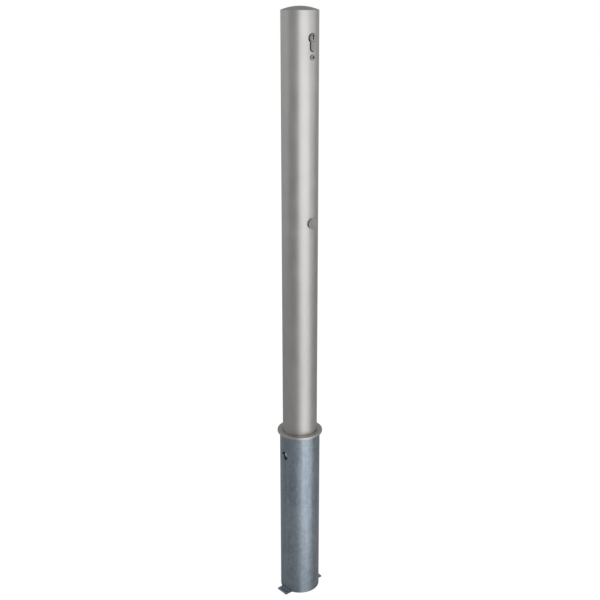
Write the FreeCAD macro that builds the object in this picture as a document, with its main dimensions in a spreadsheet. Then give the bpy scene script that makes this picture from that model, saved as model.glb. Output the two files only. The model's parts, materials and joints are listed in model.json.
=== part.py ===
import FreeCAD, Part
import math
import os
import Sketcher
from types import SimpleNamespace

# Removable locking post: a stainless tube that stands in a galvanised ground sleeve.
# Sizes are millimetres. The origin is on the axis at the ground line, which is the
# underside of the collar. +Z is up, the lock faces -Y and the bolt is thrown to -X.
# At rest the post is down in its sleeve and the bolt is drawn in.

# Driving dimensions, each one a cell of the sheet
DIMENSIONS = (
    ("post_dia", 76.1),
    ("post_wall", 2.0),
    ("rim_height", 900.0),
    ("cap_edge", 1.0),
    ("cap_edge_round", 0.8),
    ("cap_plate", 4.0),
    ("crown_radius", 100.0),
    ("spigot_depth", 14.0),
    ("spigot_wall", 3.0),
    ("seat_gap", 0.05),
    ("foot_gap", 0.4),
    ("foot_flange", 4.0),
    ("foot_bore_dia", 40.0),
    ("sleeve_dia", 88.9),
    ("sleeve_wall", 4.0),
    ("sleeve_length", 396.0),
    ("collar_dia", 100.0),
    ("collar_thick", 5.0),
    ("collar_bore_dia", 77.1),
    ("collar_spigot", 6.0),
    ("collar_round", 1.5),
    ("collar_bore_round", 0.6),
    ("bar_length", 110.0),
    ("bar_width", 30.0),
    ("bar_thick", 4.0),
    ("bar_edge_round", 0.5),
    ("weld_leg", 3.0),
    ("weld_angle", 34.0),
    ("centring_bore_dia", 78.1),
    ("centring_height", 12.0),
    ("centring_lift", 16.0),
    ("centring_lead", 0.8),
    ("lock_drop", 52.0),
    ("lock_face", 40.0),
    ("lock_face_round", 0.3),
    ("lock_circle_dia", 17.0),
    ("lock_lobe_width", 10.0),
    ("lock_tall", 33.0),
    ("lock_cutout_gap", 1.3),
    ("lock_cutout_foot", 0.3),
    ("lock_relief", 30.0),
    ("lock_seat_gap", 0.15),
    ("cam_room_front", 15.0),
    ("cam_room_back", 5.0),
    ("cam_room_depth", 11.0),
    ("plug_dia", 13.0),
    ("plug_bore_dia", 13.1),
    ("plug_nose_dia", 12.8),
    ("plug_nose_proud", 0.4),
    ("plug_nose_round", 0.3),
    ("plug_head_dia", 13.84),
    ("plug_head_back", 37.7),
    ("plug_head_thick", 0.8),
    ("plug_recess_dia", 14.0),
    ("plug_recess_depth", 2.4),
    ("plug_tail_dia", 10.0),
    ("plug_tail_bore_dia", 10.1),
    ("plug_tail_end", 2.2),
    ("plug_flat", 3.8),
    ("keyway_top", 5.9),
    ("keyway_step", 4.0),
    ("keyway_bottom", 3.0),
    ("keyway_wide", 4.2),
    ("keyway_narrow", 2.6),
    ("keyway_depth", 24.0),
    ("clip_dia", 14.0),
    ("clip_groove_dia", 8.4),
    ("clip_thick", 0.9),
    ("clip_groove_width", 1.0),
    ("clip_gap", 0.3),
    ("clip_mouth", 6.0),
    ("chamber_dia", 3.0),
    ("chamber_first", 35.0),
    ("chamber_pitch", 4.0),
    ("chamber_top", 1.0),
    ("pin_dia", 2.84),
    ("pin_chamfer", 0.3),
    ("key_pin_foot", 6.35),
    ("key_pin_base", 3.6),
    ("key_pin_step", 0.5),
    ("driver_top", 6.75),
    ("driver_length", 5.4),
    ("spring_top", 12.2),
    ("spring_bottom", 22.6),
    ("spring_wire", 0.4),
    ("spring_pitch", 1.3),
    ("chamber_plug_length", 1.6),
    ("cam_hub_dia", 16.0),
    ("cam_thick", 9.4),
    ("cam_reach", 12.0),
    ("cam_tip_dia", 6.0),
    ("cam_neck", 4.2),
    ("carrier_above", 18.0),
    ("carrier_below", 50.0),
    ("carrier_half_width", 27.0),
    ("carrier_back", 8.1),
    ("carrier_boss_back", 4.5),
    ("carrier_boss_low", 27.0),
    ("carrier_boss_high", 12.5),
    ("carrier_boss_side", 9.5),
    ("cam_pocket_play", 0.2),
    ("cam_pocket_side", 16.0),
    ("cam_pocket_half_height", 12.5),
    ("fixing_screw_drop", 19.8),
    ("fixing_screw_depth", 10.0),
    ("fixing_screw_seat", 21.0),
    ("fixing_screw_head_dia", 8.5),
    ("fixing_screw_head", 5.0),
    ("fixing_screw_length", 25.5),
    ("shank_chamfer_ratio", 0.125),
    ("socket_depth_ratio", 0.65),
    ("small_screw_dia", 4.9),
    ("small_thread_dia", 5.0),
    ("carrier_screw_dia", 5.9),
    ("carrier_thread_dia", 6.0),
    ("carrier_screw_hole_dia", 6.6),
    ("carrier_screw_drop", 88.0),
    ("carrier_screw_head_dia", 10.5),
    ("carrier_screw_head", 2.8),
    ("carrier_screw_round", 1.2),
    ("carrier_screw_length", 22.0),
    ("carrier_screw_key", 4.0),
    ("slider_thick", 4.0),
    ("slider_play", 0.4),
    ("rod_offset", 10.5),
    ("rod_dia", 8.0),
    ("rod_bore_dia", 8.16),
    ("rod_top_drop", 68.0),
    ("rod_foot", 18.0),
    ("rod_slot_width", 4.1),
    ("rod_slot_depth", 16.0),
    ("rod_pin_dia", 3.0),
    ("rod_pin_inset", 8.0),
    ("tongue_half_width", 3.3),
    ("tongue_overlap", 14.0),
    ("slider_near", 8.9),
    ("slider_far", 20.1),
    ("slider_foot_side", 5.5),
    ("slider_foot_top", 42.5),
    ("slider_foot_low", 54.0),
    ("slider_finger", 4.5),
    ("notch_height", 7.1),
    ("notch_end", 15.6),
    ("groove_play", 0.5),
    ("groove_lobe_room", 25.0),
    ("keeper_thick", 3.0),
    ("keeper_inner", 16.5),
    ("keeper_left", 20.0),
    ("keeper_step", 28.0),
    ("keeper_hole_dia", 4.4),
    ("keeper_screw_dia", 3.9),
    ("keeper_thread_dia", 4.0),
    ("keeper_screw_head_dia", 7.6),
    ("keeper_screw_head", 2.2),
    ("keeper_screw_round", 1.5),
    ("keeper_screw_length", 14.0),
    ("keeper_screw_key", 2.5),
    ("guide_height", 481.5),
    ("guide_head_dia", 22.0),
    ("guide_face", 42.3),
    ("guide_head_round", 0.5),
    ("guide_shank_dia", 16.0),
    ("guide_shank_end", 2.0),
    ("latch_height", -49.0),
    ("latch_hole_dia", 19.0),
    ("bolt_dia", 16.0),
    ("bolt_bore_dia", 16.12),
    ("bolt_tube_hole_dia", 16.6),
    ("bolt_tail", 14.0),
    ("bolt_bore_end", 16.0),
    ("bolt_chamfer", 1.0),
    ("bolt_throw", 6.0),
    ("bolt_pin_dia", 5.0),
    ("bolt_pin_front", 12.6),
    ("bolt_pin_back", 0.5),
    ("block_half_height", 17.0),
    ("block_slot_front", 12.95),
    ("block_slot_back", 7.4),
    ("wedge_left", 13.5),
    ("wedge_right", 8.0),
    ("wedge_low", 25.0),
    ("wedge_high", 8.5),
    ("wedge_slot_width", 5.6),
    ("grub_dia", 8.0),
    ("grub_hole_dia", 8.1),
    ("grub_face", 37.9),
    ("grub_length", 14.0),
    ("grub_key", 4.0),
    ("grub_chamfer", 0.6),
)

# How many key steps each key pin is longer than the shortest one
KEY_PIN_STEPS = (2, 0, 3, 1, 2)

# Turns that lay a piece's own +Z along the frame
FACING_FRONT = FreeCAD.Rotation(FreeCAD.Vector(1, 0, 0), 90)
FACING_BACK = FreeCAD.Rotation(FreeCAD.Vector(1, 0, 0), -90)
FACING_LATCH = FreeCAD.Rotation(FreeCAD.Vector(0, 1, 0), -90)
UPRIGHT = FreeCAD.Rotation()

# How near two places must be to count as one, and the least volume a feature may change
SAME_PLACE = 0.001
LEAST_CHANGE = 0.01

doc = FreeCAD.newDocument("RemovablePost")


class Size:
    """A number together with the sheet expression that gives it."""

    def __init__(self, number, text):
        self.number = float(number)
        self.text = text

    def _joined(self, number, sign, other):
        return Size(number, "(%s %s %s)" % (self.text, sign, other.text))

    def __add__(self, other):
        other = as_size(other)
        return self._joined(self.number + other.number, "+", other)

    def __sub__(self, other):
        other = as_size(other)
        return self._joined(self.number - other.number, "-", other)

    def __mul__(self, other):
        other = as_size(other)
        return self._joined(self.number * other.number, "*", other)

    def __truediv__(self, other):
        other = as_size(other)
        return self._joined(self.number / other.number, "/", other)

    def __radd__(self, other):
        return as_size(other) + self

    def __rsub__(self, other):
        return as_size(other) - self

    def __rmul__(self, other):
        return as_size(other) * self

    def __neg__(self):
        return as_size(0) - self


def as_size(value):
    """The value itself if it is a size, or a plain number written as one."""
    if isinstance(value, Size):
        return value
    return Size(value, "(%r)" % float(value))


def root(size):
    """The square root of a size."""
    return Size(math.sqrt(max(size.number, 0.0)), "sqrt(%s)" % size.text)


def fill_sheet():
    """The driving dimensions as named cells, returned as sizes under the same names."""
    sheet = doc.addObject("Spreadsheet::Sheet", "Sizes")
    sizes = SimpleNamespace()
    for row, (alias, number) in enumerate(DIMENSIONS, start=1):
        sheet.set("A%d" % row, alias)
        sheet.set("B%d" % row, repr(number))
        sheet.setAlias("B%d" % row, alias)
        setattr(sizes, alias, Size(number, "Sizes." + alias))
    doc.recompute()
    return sizes


def bind(item, name, size):
    """Tie one of an object's properties to the sheet."""
    item.setExpression(name, as_size(size).text)


def place(item, x=0, y=0, z=0, facing=UPRIGHT):
    """Give a finished piece its turn and its place in the frame."""
    spot = FreeCAD.Vector(as_size(x).number, as_size(y).number, as_size(z).number)
    item.Placement = FreeCAD.Placement(spot, facing)
    bind(item, "Placement.Base.x", x)
    bind(item, "Placement.Base.y", y)
    bind(item, "Placement.Base.z", z)


def hold_point(sketch, edge, end, u, v):
    """Hold one end or the centre of an edge at (u, v) from the sketch's origin."""
    for kind, size in (("DistanceX", as_size(u)), ("DistanceY", as_size(v))):
        constraint = Sketcher.Constraint(kind, -1, 1, edge, end, size.number)
        index = sketch.addConstraint(constraint)
        bind(sketch, "Constraints[%d]" % index, size)


def hold_radius(sketch, edge, size):
    """Hold the radius of a circle or an arc."""
    index = sketch.addConstraint(Sketcher.Constraint("Radius", edge, size.number))
    bind(sketch, "Constraints[%d]" % index, size)


def circle(sketch, u, v, radius):
    """A whole circle about (u, v)."""
    centre = FreeCAD.Vector(as_size(u).number, as_size(v).number, 0)
    up = FreeCAD.Vector(0, 0, 1)
    edge = sketch.addGeometry(Part.Circle(centre, up, radius.number), False)
    hold_point(sketch, edge, 3, u, v)
    hold_radius(sketch, edge, radius)


def add_arc(sketch, start, end, bulge):
    """An arc under half a turn, left-hand for a positive bulge and right-hand for a negative one."""
    radius = abs(bulge.number)
    chord = end - start
    rise = math.sqrt(max(radius ** 2 - (chord.Length / 2) ** 2, 0.0))
    side = FreeCAD.Vector(-chord.y, chord.x, 0).normalize() * math.copysign(rise, bulge.number)
    centre = (start + end) * 0.5 + side
    first, last = (start, end) if bulge.number > 0 else (end, start)
    ring = Part.Circle(centre, FreeCAD.Vector(0, 0, 1), radius)
    angles = [math.atan2(p.y - centre.y, p.x - centre.x) for p in (first, last)]
    edge = sketch.addGeometry(Part.ArcOfCircle(ring, angles[0], angles[1]), False)
    hold_radius(sketch, edge, bulge if bulge.number > 0 else -bulge)
    return (edge, 1, 2) if bulge.number > 0 else (edge, 2, 1)


def outline(sketch, points):
    """A closed outline. A point is (u, v), or (u, v, bulge) where an arc leaves it."""
    spots = [FreeCAD.Vector(as_size(p[0]).number, as_size(p[1]).number, 0) for p in points]
    edges = []
    for point, start, end in zip(points, spots, spots[1:] + spots[:1]):
        if len(point) == 3:
            edges.append(add_arc(sketch, start, end, point[2]))
        else:
            edges.append((sketch.addGeometry(Part.LineSegment(start, end), False), 1, 2))
    for edge, following in zip(edges, edges[1:] + edges[:1]):
        join = Sketcher.Constraint("Coincident", edge[0], edge[2], following[0], following[1])
        sketch.addConstraint(join)
    for edge, point in zip(edges, points):
        hold_point(sketch, edge[0], edge[1], point[0], point[1])


def box(sketch, left, low, right, high):
    """A rectangle between two opposite corners."""
    outline(sketch, ((left, low), (right, low), (right, high), (left, high)))


def hexagon(sketch, across_flats):
    """A hexagon about the sketch's origin."""
    point = across_flats / root(as_size(3))
    flat = across_flats / 2
    half = point / 2
    outline(sketch, ((point, 0), (half, flat), (-half, flat), (-point, 0), (-half, -flat), (half, -flat)))


def lies_at(edge, level, along):
    """Whether both ends of an edge are at one level along an axis."""
    return all(abs(getattr(corner.Point, along) - level.number) < SAME_PLACE for corner in edge.Vertexes)


def is_circle(edge, radius):
    """Whether an edge is part of a circle of one radius."""
    return isinstance(edge.Curve, Part.Circle) and abs(edge.Curve.Radius - radius.number) < SAME_PLACE


class Piece:
    """A body under construction, with sketches on its origin planes."""

    def __init__(self, label):
        self.body = doc.addObject("PartDesign::Body", label)
        self.body.Label = label

    def sketch(self, role, lift=0):
        """An empty sketch, lifted along the plane's normal. That of the XZ plane is -Y."""
        planes = [item for item in self.body.Origin.OriginFeatures if item.Role == role]
        made = self.body.newObject("Sketcher::SketchObject", self.body.Name + "_sketch")
        made.AttachmentSupport = (planes[0], [""])
        made.MapMode = "FlatFace"
        bind(made, "AttachmentOffset.Base.z", lift)
        return made

    def _settle(self, before, grows):
        """Recompute, and stop if the last feature did not change the solid as it should."""
        doc.recompute()
        change = self.body.Shape.Volume - before
        if abs(change) < LEAST_CHANGE or (change > 0) != grows:
            raise RuntimeError("a feature of %s changed its volume by %.3f" % (self.body.Label, change))

    def _volume(self):
        return 0.0 if self.body.Shape.isNull() else self.body.Shape.Volume

    def _feature(self, kind, sketch, grows, length, symmetric, reverse):
        before = self._volume()
        made = self.body.newObject("PartDesign::" + kind, self.body.Name + "_" + kind.lower())
        made.Profile = sketch
        made.Reversed = reverse
        made.SideType = "Symmetric" if symmetric else "One side"
        if length is None:
            made.Type = "ThroughAll"
        else:
            made.Type = "Length"
            bind(made, "Length", length)
        self._settle(before, grows)

    def pad(self, sketch, length, symmetric=False, reverse=False):
        """Material along the sketch's normal."""
        self._feature("Pad", sketch, True, length, symmetric, reverse)

    def pocket(self, sketch, length=None, symmetric=False, reverse=False):
        """A cut against the sketch's normal, or along it when reversed. No length cuts through."""
        self._feature("Pocket", sketch, False, length, symmetric, reverse)

    def revolve(self, sketch, angle=None):
        """Material turned about the sketch's vertical axis, whole or centred on the sketch."""
        before = self._volume()
        made = self.body.newObject("PartDesign::Revolution", self.body.Name + "_revolution")
        made.Profile = sketch
        made.ReferenceAxis = (sketch, ["V_Axis"])
        made.Angle = 360
        if angle is not None:
            made.Midplane = True
            bind(made, "Angle", angle)
        self._settle(before, True)
        return made

    def repeat_around(self, feature, count):
        """Copies of a feature evenly round the sketch's vertical axis."""
        before = self._volume()
        made = self.body.newObject("PartDesign::PolarPattern", self.body.Name + "_pattern")
        made.Originals = [feature]
        made.Axis = (feature.Profile[0], ["V_Axis"])
        made.Angle = 360
        made.Occurrences = count
        self.body.Tip = made
        self._settle(before, True)

    def round_edges(self, radius, level, circle_radius=None, along="z"):
        """Round the edges that lie at one level, or only the circles of one radius there."""
        names = []
        for number, edge in enumerate(self.body.Shape.Edges, start=1):
            if edge.Degenerated or not lies_at(edge, as_size(level), along):
                continue
            if circle_radius is None or is_circle(edge, circle_radius):
                names.append("Edge%d" % number)
        before = self._volume()
        last = self.body.Tip
        made = self.body.newObject("PartDesign::Fillet", self.body.Name + "_fillet")
        made.Base = (last, names)
        bind(made, "Radius", radius)
        self._settle(before, False)


def turned(label, points):
    """A piece turned about its own Z from a half section of (radius, height) points."""
    piece = Piece(label)
    section = piece.sketch("XZ_Plane")
    outline(section, points)
    piece.revolve(section)
    return piece


def group(label, bodies):
    """Like pieces that share one node, each one a solid of its own."""
    made = doc.addObject("Part::Compound", label)
    made.Label = label
    made.Links = bodies
    doc.recompute()
    return made


def socket_screw(label, head_dia, head, shank_dia, shank, key_width, head_round=None):
    """A hexagon socket screw with its head's underside at z = 0 and its shank below."""
    chamfer = shank_dia * d.shank_chamfer_ratio
    points = (
        (0, -shank),
        (shank_dia / 2 - chamfer, -shank),
        (shank_dia / 2, chamfer - shank),
        (shank_dia / 2, 0),
        (head_dia / 2, 0),
        (head_dia / 2, head),
        (0, head),
    )
    screw = turned(label, points)
    if head_round is not None:
        screw.round_edges(head_round, head, head_dia / 2)
    socket = screw.sketch("XY_Plane", head)
    hexagon(socket, key_width)
    screw.pocket(socket, key_width * d.socket_depth_ratio)
    return screw


d = fill_sheet()

# Levels and radii that several pieces share
post_radius = d.post_dia / 2
post_bore = post_radius - d.post_wall
tube_top = d.rim_height - d.cap_edge
sleeve_radius = d.sleeve_dia / 2
sleeve_bore = sleeve_radius - d.sleeve_wall
sleeve_foot = -d.sleeve_length
post_foot = sleeve_foot + d.foot_gap
tube_foot = post_foot + d.foot_flange
lock_height = d.rim_height - d.lock_drop
carrier_screw_height = d.rim_height - d.carrier_screw_drop
fixing_height = lock_height - d.fixing_screw_drop
cam_drop = d.cam_reach * root(as_size(0.5))
rod_lift = cam_drop * 2
rod_top = lock_height - d.rod_top_drop
rod_bottom = d.latch_height + d.rod_foot
slider_front = d.rod_offset + d.slider_thick / 2
slider_back = d.rod_offset - d.slider_thick / 2
top_pin_height = rod_top - d.rod_pin_inset
low_pin_height = rod_bottom + d.rod_pin_inset


def ground_sleeve():
    """The galvanised tube that is set in concrete, with the hole that the bolt enters."""
    piece = turned("ground_sleeve", (
        (sleeve_bore, sleeve_foot),
        (sleeve_radius, sleeve_foot),
        (sleeve_radius, 0),
        (sleeve_bore, 0),
    ))
    hole = piece.sketch("YZ_Plane")
    circle(hole, 0, d.latch_height, d.latch_hole_dia / 2)
    piece.pocket(hole)
    return piece.body


def collar_ring():
    """The stainless ring at ground level, with a spigot down into the sleeve."""
    bore = d.collar_bore_dia / 2
    spigot = sleeve_bore - d.seat_gap
    piece = turned("collar_ring", (
        (bore, -d.collar_spigot),
        (spigot, -d.collar_spigot),
        (spigot, 0),
        (d.collar_dia / 2, 0),
        (d.collar_dia / 2, d.collar_thick),
        (bore, d.collar_thick),
    ))
    piece.round_edges(d.collar_round, d.collar_thick, d.collar_dia / 2)
    piece.round_edges(d.collar_round / 2, 0, d.collar_dia / 2)
    piece.round_edges(d.collar_bore_round, d.collar_thick, bore)
    return piece.body


def anchor_bar():
    """The flat bar across the sleeve's foot, with a weld bead at each side of the sleeve."""
    piece = Piece("anchor_bar")
    flat = piece.sketch("XY_Plane", sleeve_foot - d.bar_thick)
    box(flat, -d.bar_length / 2, -d.bar_width / 2, d.bar_length / 2, d.bar_width / 2)
    piece.pad(flat, d.bar_thick)
    piece.round_edges(d.bar_edge_round, sleeve_foot)
    piece.round_edges(d.bar_edge_round, sleeve_foot - d.bar_thick)
    bead = piece.sketch("XZ_Plane")
    outline(bead, (
        (sleeve_radius, sleeve_foot),
        (sleeve_radius + d.weld_leg, sleeve_foot),
        (sleeve_radius, sleeve_foot + d.weld_leg),
    ))
    piece.repeat_around(piece.revolve(bead, d.weld_angle), 2)
    return piece.body


def sleeve_centring_ring():
    """The ring low in the sleeve that keeps the post's foot in the middle."""
    low = sleeve_foot + d.centring_lift
    high = low + d.centring_height
    bore = d.centring_bore_dia / 2
    outer = sleeve_bore - d.seat_gap
    return turned("sleeve_centring_ring", (
        (bore, low),
        (outer, low),
        (outer, high),
        (bore + d.centring_lead, high),
        (bore, high - d.centring_lead),
    )).body


def lock_profile(gap, longer=0):
    """The half profile's outline about the lock's axis, with a gap all round and a longer lobe."""
    big = d.lock_circle_dia / 2 + gap
    side = d.lock_lobe_width / 2 + gap
    neck = -root(big * big - side * side)
    foot = d.lock_lobe_width / 2 + d.lock_circle_dia / 2 - d.lock_tall - longer
    return (
        (side, lock_height + neck, big),
        (0, lock_height + big, big),
        (-side, lock_height + neck),
        (-side, lock_height + foot, side),
        (0, lock_height + foot - side, side),
        (side, lock_height + foot),
    )


def post_tube():
    """The stainless tube with its openings for the lock, screws, rod guide and bolt."""
    piece = turned("post_tube", (
        (post_bore, tube_foot),
        (post_radius, tube_foot),
        (post_radius, tube_top),
        (post_bore, tube_top),
    ))
    front = piece.sketch("XZ_Plane")
    outline(front, lock_profile(d.lock_cutout_gap, d.lock_cutout_foot))
    circle(front, 0, carrier_screw_height, d.carrier_screw_hole_dia / 2)
    circle(front, 0, d.guide_height, d.guide_shank_dia / 2)
    piece.pocket(front, reverse=True)
    side = piece.sketch("YZ_Plane")
    circle(side, 0, d.latch_height, d.bolt_tube_hole_dia / 2)
    piece.pocket(side)
    across = piece.sketch("XZ_Plane")
    circle(across, 0, d.latch_height, d.grub_hole_dia / 2)
    piece.pocket(across, symmetric=True)
    return piece.body


def top_cap():
    """The domed end of the post, with a spigot that fits inside the tube."""
    crown = d.rim_height - root(d.crown_radius * d.crown_radius - post_radius * post_radius) + d.crown_radius
    spigot = post_bore - d.seat_gap
    piece = turned("top_cap", (
        (0, tube_top - d.cap_plate),
        (spigot - d.spigot_wall, tube_top - d.cap_plate),
        (spigot - d.spigot_wall, tube_top - d.spigot_depth),
        (spigot, tube_top - d.spigot_depth),
        (spigot, tube_top),
        (post_radius, tube_top),
        (post_radius, d.rim_height, d.crown_radius),
        (0, crown),
    ))
    piece.round_edges(d.cap_edge_round, d.rim_height, post_radius)
    return piece.body


def foot_plug():
    """The plastic plug in the tube's lower end, open in the middle so that water drains."""
    spigot = post_bore - d.seat_gap
    bore = d.foot_bore_dia / 2
    return turned("foot_plug", (
        (bore, post_foot),
        (post_radius, post_foot),
        (post_radius, tube_foot),
        (spigot, tube_foot),
        (spigot, tube_foot + d.spigot_depth),
        (spigot - d.spigot_wall, tube_foot + d.spigot_depth),
        (bore, tube_foot),
    )).body


def cut_pin_chambers(piece, lift, length, reverse):
    """A row of pin chambers along the lock, drilled from below."""
    row = piece.sketch("XY_Plane", lift)
    for number in range(len(KEY_PIN_STEPS)):
        circle(row, 0, d.chamber_pitch * number - d.chamber_first, d.chamber_dia / 2)
    piece.pocket(row, length, reverse=reverse)


def cylinder_housing():
    """The half profile housing, open for the cam and bored for the plug and the pins."""
    piece = Piece("cylinder_housing")
    profile = piece.sketch("XZ_Plane")
    outline(profile, lock_profile(as_size(0)))
    piece.pad(profile, d.lock_face)
    piece.round_edges(d.lock_face_round, -d.lock_face, along="y")
    bore = piece.sketch("XZ_Plane", d.lock_face)
    circle(bore, 0, lock_height, d.plug_bore_dia / 2)
    piece.pocket(bore, d.lock_face - d.cam_room_front)
    recess = piece.sketch("XZ_Plane", d.lock_face)
    circle(recess, 0, lock_height, d.plug_recess_dia / 2)
    piece.pocket(recess, d.plug_recess_depth)
    room = piece.sketch("XZ_Plane", d.cam_room_front)
    side = d.lock_circle_dia
    box(room, -side, lock_height - d.cam_room_depth, side, lock_height + side)
    piece.pocket(room, d.cam_room_front - d.cam_room_back)
    tail = piece.sketch("XZ_Plane", d.cam_room_back)
    circle(tail, 0, lock_height, d.plug_tail_bore_dia / 2)
    piece.pocket(tail)
    thread = piece.sketch("YZ_Plane")
    circle(thread, -d.fixing_screw_depth, fixing_height, d.small_thread_dia / 2)
    piece.pocket(thread, symmetric=True)
    below = lock_height - d.lock_tall
    cut_pin_chambers(piece, below, d.lock_tall - d.plug_dia / 2 + d.pin_chamfer, True)
    return piece.body


def lock_plug():
    """The turning plug with its keyway. Its own Z points out of the lock's face."""
    face = d.lock_face + d.plug_nose_proud
    step = d.plug_head_back + d.plug_head_thick
    nose = d.plug_nose_dia / 2
    core = d.plug_dia / 2
    tail = d.plug_tail_dia / 2
    groove = -d.clip_gap - d.clip_groove_width
    piece = turned("lock_plug", (
        (0, -d.plug_tail_end),
        (tail, -d.plug_tail_end),
        (tail, groove),
        (d.clip_groove_dia / 2, groove),
        (d.clip_groove_dia / 2, -d.clip_gap),
        (tail, -d.clip_gap),
        (tail, d.cam_room_front),
        (core, d.cam_room_front),
        (core, d.plug_head_back),
        (d.plug_head_dia / 2, d.plug_head_back),
        (d.plug_head_dia / 2, step),
        (nose, step),
        (nose, face),
        (0, face),
    ))
    piece.round_edges(d.plug_nose_round, face, nose)
    keyway = piece.sketch("XY_Plane", face)
    wide = d.keyway_wide / 2
    narrow = d.keyway_narrow / 2
    outline(keyway, (
        (-narrow, -d.keyway_bottom),
        (narrow, -d.keyway_bottom),
        (narrow, d.keyway_step),
        (wide, d.keyway_step),
        (wide, d.keyway_top),
        (-wide, d.keyway_top),
        (-wide, d.keyway_step),
        (-narrow, d.keyway_step),
    ))
    piece.pocket(keyway, d.keyway_depth)
    flat = piece.sketch("XZ_Plane")
    low = (d.cam_room_front + d.cam_room_back - d.cam_thick) / 2
    box(flat, d.plug_flat, low, d.plug_dia, low + d.cam_thick)
    piece.pocket(flat, symmetric=True)
    row = piece.sketch("XZ_Plane", d.plug_dia / 2)
    for number in range(len(KEY_PIN_STEPS)):
        circle(row, 0, d.chamber_first - d.chamber_pitch * number, d.chamber_dia / 2)
    piece.pocket(row, d.plug_dia / 2 - d.chamber_top)
    place(piece.body, z=lock_height, facing=FACING_FRONT)
    return piece.body


def lock_cam():
    """The cam, keyed to the plug's tail, with its nose an eighth of a turn below +X."""
    piece = Piece("lock_cam")
    low = (d.cam_room_front + d.cam_room_back - d.cam_thick) / 2
    slant = root(as_size(0.5))

    def along_nose(reach, aside):
        return ((reach + aside) * slant, (aside - reach) * slant)

    hub = piece.sketch("XY_Plane", low)
    circle(hub, 0, 0, d.cam_hub_dia / 2)
    piece.pad(hub, d.cam_thick)
    neck = piece.sketch("XY_Plane", low)
    half = d.cam_neck / 2
    start = d.plug_tail_dia / 2 + half / 2
    corners = ((start, -half), (d.cam_reach, -half), (d.cam_reach, half), (start, half))
    outline(neck, [along_nose(reach, aside) for reach, aside in corners])
    piece.pad(neck, d.cam_thick)
    tip = piece.sketch("XY_Plane", low)
    tip_u, tip_v = along_nose(d.cam_reach, as_size(0))
    circle(tip, tip_u, tip_v, d.cam_tip_dia / 2)
    piece.pad(tip, d.cam_thick)
    bore = piece.sketch("XY_Plane")
    tail = d.plug_tail_dia / 2
    edge = root(tail * tail - d.plug_flat * d.plug_flat)
    outline(bore, (
        (d.plug_flat, edge, tail),
        (-tail, 0, tail),
        (d.plug_flat, -edge),
    ))
    piece.pocket(bore, symmetric=True)
    place(piece.body, z=lock_height, facing=FACING_FRONT)
    return piece.body


def cam_clip():
    """The open ring that keeps the plug from sliding out."""
    piece = Piece("cam_clip")
    ring = piece.sketch("XY_Plane", -d.clip_gap - d.clip_thick)
    circle(ring, 0, 0, d.clip_dia / 2)
    circle(ring, 0, 0, d.clip_groove_dia / 2)
    piece.pad(ring, d.clip_thick)
    mouth = piece.sketch("XY_Plane")
    box(mouth, -d.clip_mouth / 2, -d.clip_dia, d.clip_mouth / 2, 0)
    piece.pocket(mouth, symmetric=True)
    place(piece.body, z=lock_height, facing=FACING_FRONT)
    return piece.body


def chamber_row(label, make_piece):
    """One piece in each pin chamber, made standing on z = 0 and placed by its foot."""
    made = []
    for number, steps in enumerate(KEY_PIN_STEPS):
        body, foot = make_piece("%s_%d" % (label, number + 1), steps)
        place(body, y=d.chamber_pitch * number - d.chamber_first, z=lock_height - foot)
        made.append(body)
    return group(label, made)


def round_pin(label, length, chamfer):
    """A pin of the chamber's size with both its ends chamfered."""
    radius = d.pin_dia / 2
    return turned(label, (
        (0, 0),
        (radius - chamfer, 0),
        (radius, chamfer),
        (radius, length - chamfer),
        (radius - chamfer, length),
        (0, length),
    )).body


def key_pin(label, steps):
    return round_pin(label, d.key_pin_base + d.key_pin_step * steps, d.pin_chamfer), d.key_pin_foot


def driver_pin(label, steps):
    return round_pin(label, d.driver_length, d.pin_chamfer), d.driver_top + d.driver_length


def chamber_plug(label, steps):
    foot = d.spring_bottom + d.chamber_plug_length
    return round_pin(label, d.chamber_plug_length, d.pin_chamfer / 2), foot


def pin_spring(label, steps):
    """A coil of round wire that pushes one driver pin up."""
    mean_radius = d.pin_dia / 2 - d.spring_wire
    coil = doc.addObject("Part::Helix", label + "_line")
    bind(coil, "Pitch", d.spring_pitch)
    bind(coil, "Height", d.spring_bottom - d.spring_top - d.spring_wire)
    bind(coil, "Radius", mean_radius)
    wire = doc.addObject("Part::Circle", label + "_wire")
    bind(wire, "Radius", d.spring_wire / 2)
    place(wire, x=mean_radius, facing=FACING_FRONT)
    doc.recompute()
    spring = doc.addObject("Part::Sweep", label)
    spring.Sections = [wire]
    spring.Spine = (coil, ["Edge%d" % (n + 1) for n in range(len(coil.Shape.Edges))])
    spring.Solid = True
    spring.Frenet = True
    doc.recompute()
    return spring, d.spring_bottom - d.spring_wire / 2


def lock_carrier():
    """The block behind the tube wall that holds the cylinder and guides the cam slider."""
    piece = Piece("lock_carrier")
    low = lock_height - d.carrier_below
    seat = post_bore - d.seat_gap
    half = d.carrier_half_width
    shoulder = -root(seat * seat - half * half)
    plan = piece.sketch("XY_Plane", low)
    outline(plan, (
        (-half, shoulder, seat),
        (half, shoulder),
        (half, -d.carrier_back),
        (-half, -d.carrier_back),
    ))
    piece.pad(plan, d.carrier_below + d.carrier_above)
    boss = piece.sketch("XY_Plane", lock_height - d.carrier_boss_low)
    box(boss, -half, -d.carrier_back, -d.carrier_boss_side, -d.carrier_boss_back)
    piece.pad(boss, d.carrier_boss_low - d.carrier_boss_high)
    profile = piece.sketch("XZ_Plane")
    outline(profile, lock_profile(d.lock_seat_gap))
    piece.pocket(profile, symmetric=True)
    relief = piece.sketch("XZ_Plane", d.lock_relief)
    outline(relief, lock_profile(d.lock_cutout_gap, d.lock_cutout_foot))
    piece.pocket(relief, reverse=True)
    cut_slider_room(piece)
    cut_carrier_holes(piece)
    return piece.body


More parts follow.
